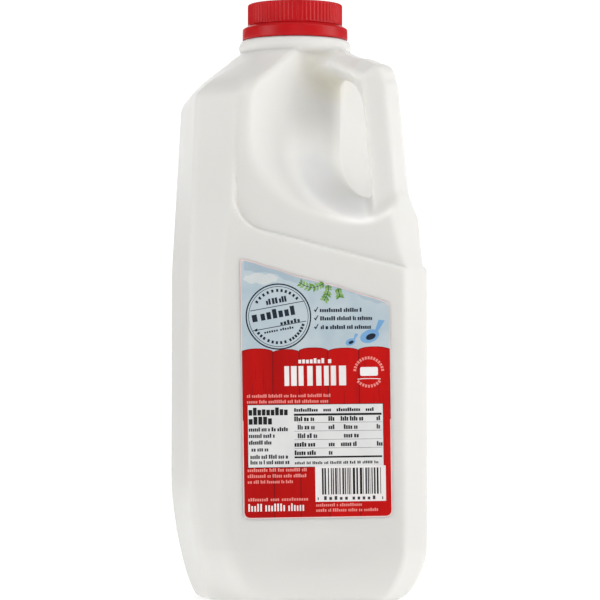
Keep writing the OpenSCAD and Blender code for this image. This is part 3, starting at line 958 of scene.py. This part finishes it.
INK_TONES = {
    "film": ((226, 198, 196), (232, 208, 205)),
    "sky": ((170, 186, 195), (186, 198, 203)),
    "sky_dark": ((156, 173, 185), (168, 184, 194)),
    "cloud": ((196, 201, 202), (204, 208, 208)),
    "badge": ((176, 190, 198), (184, 196, 202)),
    "navy": ((28, 36, 50), (36, 44, 58)),
    "leaf": ((92, 138, 62), (108, 150, 76)),
    "leaf_pale": ((124, 162, 92), (138, 174, 106)),
    "stem": ((52, 66, 58), (60, 74, 66)),
    "blue": ((110, 156, 200), (122, 166, 208)),
    "red": ((164, 4, 2), (186, 8, 5)),
    "red_bright": ((176, 6, 4), (194, 11, 8)),
    "red_dark": ((120, 8, 12), (134, 10, 14)),
    "red_streak": ((142, 8, 12), (156, 10, 14)),
    "white": ((226, 222, 221), (234, 231, 230)),
    "paper": ((214, 214, 214), (222, 222, 221)),
    "pink": ((222, 130, 124), (230, 142, 135)),
    "black": ((26, 26, 28), (34, 34, 36)),
    "grey": ((48, 48, 52), (60, 60, 64)),
}


def ink_material(name):
    """Printed film: the ink's two tones in fine mottle, under a smooth clear face."""
    lo, hi = (tone(*c) for c in INK_TONES[name])
    m = Nodes("print_" + name)
    if name in ("red", "red_bright"):
        mottle = m.noise(70, 4.0, 0.6, (1.0, 1.0, 0.12))  # drawn out upright, as wood grain is
    else:
        mottle = m.noise(90, 3.0)
    m.link(m.ramp(mottle, [(0.32, lo), (0.68, hi)]), m.shader.inputs["Base Color"])
    m.set(IOR=1.48, Specular_IOR_Level=0.12)
    m.link(m.spread(m.noise(240, 2.0), 0.3, 0.38), m.shader.inputs["Roughness"])
    m.link(m.bump(m.noise(30, 2.0), 0.1, 0.0012), m.shader.inputs["Normal"])
    return m.mat


# ---------------------------------------------------------------- pieces

body = jug_piece()
body.data.materials.append(milky_plastic())
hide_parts("jug")

red = red_plastic()
shell = cap_piece()
shell.data.materials.append(red)
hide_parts("cap")

band = band_piece()
band.data.materials.append(red)
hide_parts("tamper_band")

sheet, ink_names, ink_slots = label_piece()
for ink_name in ink_names:
    sheet.data.materials.append(ink_material(ink_name))
sheet.data.polygons.foreach_set("material_index", ink_slots)
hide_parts("label")

for piece in (body, shell, band, sheet):
    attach(piece, "root")

# ---------------------------------------------------------------- floor, light, camera


def aim(ob, at, target):
    ob.location = at
    ob.rotation_euler = (Vector(target) - Vector(at)).to_track_quat("-Z", "Y").to_euler()


def softbox(name, azimuth, height, distance, wide, tall, power):
    lamp = bpy.data.lights.new(name, "AREA")
    lamp.shape, lamp.size, lamp.size_y = "RECTANGLE", wide, tall
    lamp.energy = power
    ob = bpy.data.objects.new(name, lamp)
    bpy.context.scene.collection.objects.link(ob)
    turn = math.radians(azimuth)
    aim(ob, (distance * math.sin(turn), -distance * math.cos(turn), height), (0, 0, 0.13))


def floor_material():
    m = Nodes("pale_floor")
    pale = [(0.3, (0.95, 0.95, 0.95, 1)), (0.7, (0.97, 0.97, 0.97, 1))]
    m.link(m.ramp(m.noise(3, 2.0), pale), m.shader.inputs["Base Color"])
    m.link(m.spread(m.noise(40, 2.0), 0.7, 0.8), m.shader.inputs["Roughness"])
    m.set(Specular_IOR_Level=0.1, Emission_Color=(1, 1, 1, 1))
    # lit from below, as a light table is, and more so away from the jug
    away = m.add("ShaderNodeVectorMath")
    away.operation = "LENGTH"
    m.link(m.where, away.inputs[0])
    glow = m.spread(away.outputs["Value"], 0.36, 0.95, 0.4, 2.2)
    m.link(glow, m.shader.inputs["Emission Strength"])
    return m.mat


def studio_world():
    """A white studio wall, brighter as the camera sees it than as it lights the jug."""
    world = bpy.data.worlds.new("studio")
    world.use_nodes = True
    tree = world.node_tree
    back = tree.nodes["Background"]
    path = tree.nodes.new("ShaderNodeLightPath")
    wall = tree.nodes.new("ShaderNodeMapRange")
    wall.inputs["To Min"].default_value, wall.inputs["To Max"].default_value = 0.2, 1.1
    tree.links.new(path.outputs["Is Camera Ray"], wall.inputs["Value"])
    tree.links.new(wall.outputs["Result"], back.inputs["Strength"])
    back.inputs["Color"].default_value = (1, 1, 1, 1)
    return world


FLOOR_HALF = 30
floor_mesh = bpy.data.meshes.new("floor")
corners = [(x * FLOOR_HALF, y * FLOOR_HALF, 0) for x, y in ((-1, -1), (1, -1), (1, 1), (-1, 1))]
floor_mesh.from_pydata(corners, [], [(0, 1, 2, 3)])
floor = bpy.data.objects.new("floor", floor_mesh)
bpy.context.scene.collection.objects.link(floor)
floor_mesh.materials.append(floor_material())

scene = bpy.context.scene
scene.world = studio_world()

# azimuth in degrees from -Y towards +X, height, distance, width and height, and power
softbox("right_light", 120, 0.55, 1.3, 0.8, 0.9, 7.6)
softbox("left_light", -25, 0.55, 1.4, 0.7, 0.9, 7.5)
softbox("front_light", 45, 0.55, 1.6, 0.8, 0.9, 1.7)
softbox("key_light", 92, 1.2, 1.1, 0.8, 0.8, 5)
softbox("top_light", 37, 1.6, 0.1, 1.2, 1.2, 5)
softbox("back_light", 222, 0.75, 1.3, 1.0, 1.0, 5)

AZIMUTH, DISTANCE, EYE = math.radians(37), 1.6, 0.0576
PITCH, YAW = math.radians(2.562), math.radians(0.053)  # up, and to the right
camera = bpy.data.cameras.new("camera")
camera.sensor_width, camera.lens = 36, 221.07
camera.clip_start, camera.clip_end = 0.05, 60
viewer = bpy.data.objects.new("camera", camera)
scene.collection.objects.link(viewer)
out = Vector((math.sin(AZIMUTH), -math.cos(AZIMUTH), 0))
right = Vector((math.cos(AZIMUTH), math.sin(AZIMUTH), 0))
viewer.location = out * DISTANCE + Vector((0, 0, EYE))
ahead = -out + Vector((0, 0, 1)) * math.tan(PITCH) + right * math.tan(YAW)
viewer.rotation_euler = ahead.to_track_quat("-Z", "Y").to_euler()
scene.camera = viewer
scene.view_settings.view_transform = "Standard"
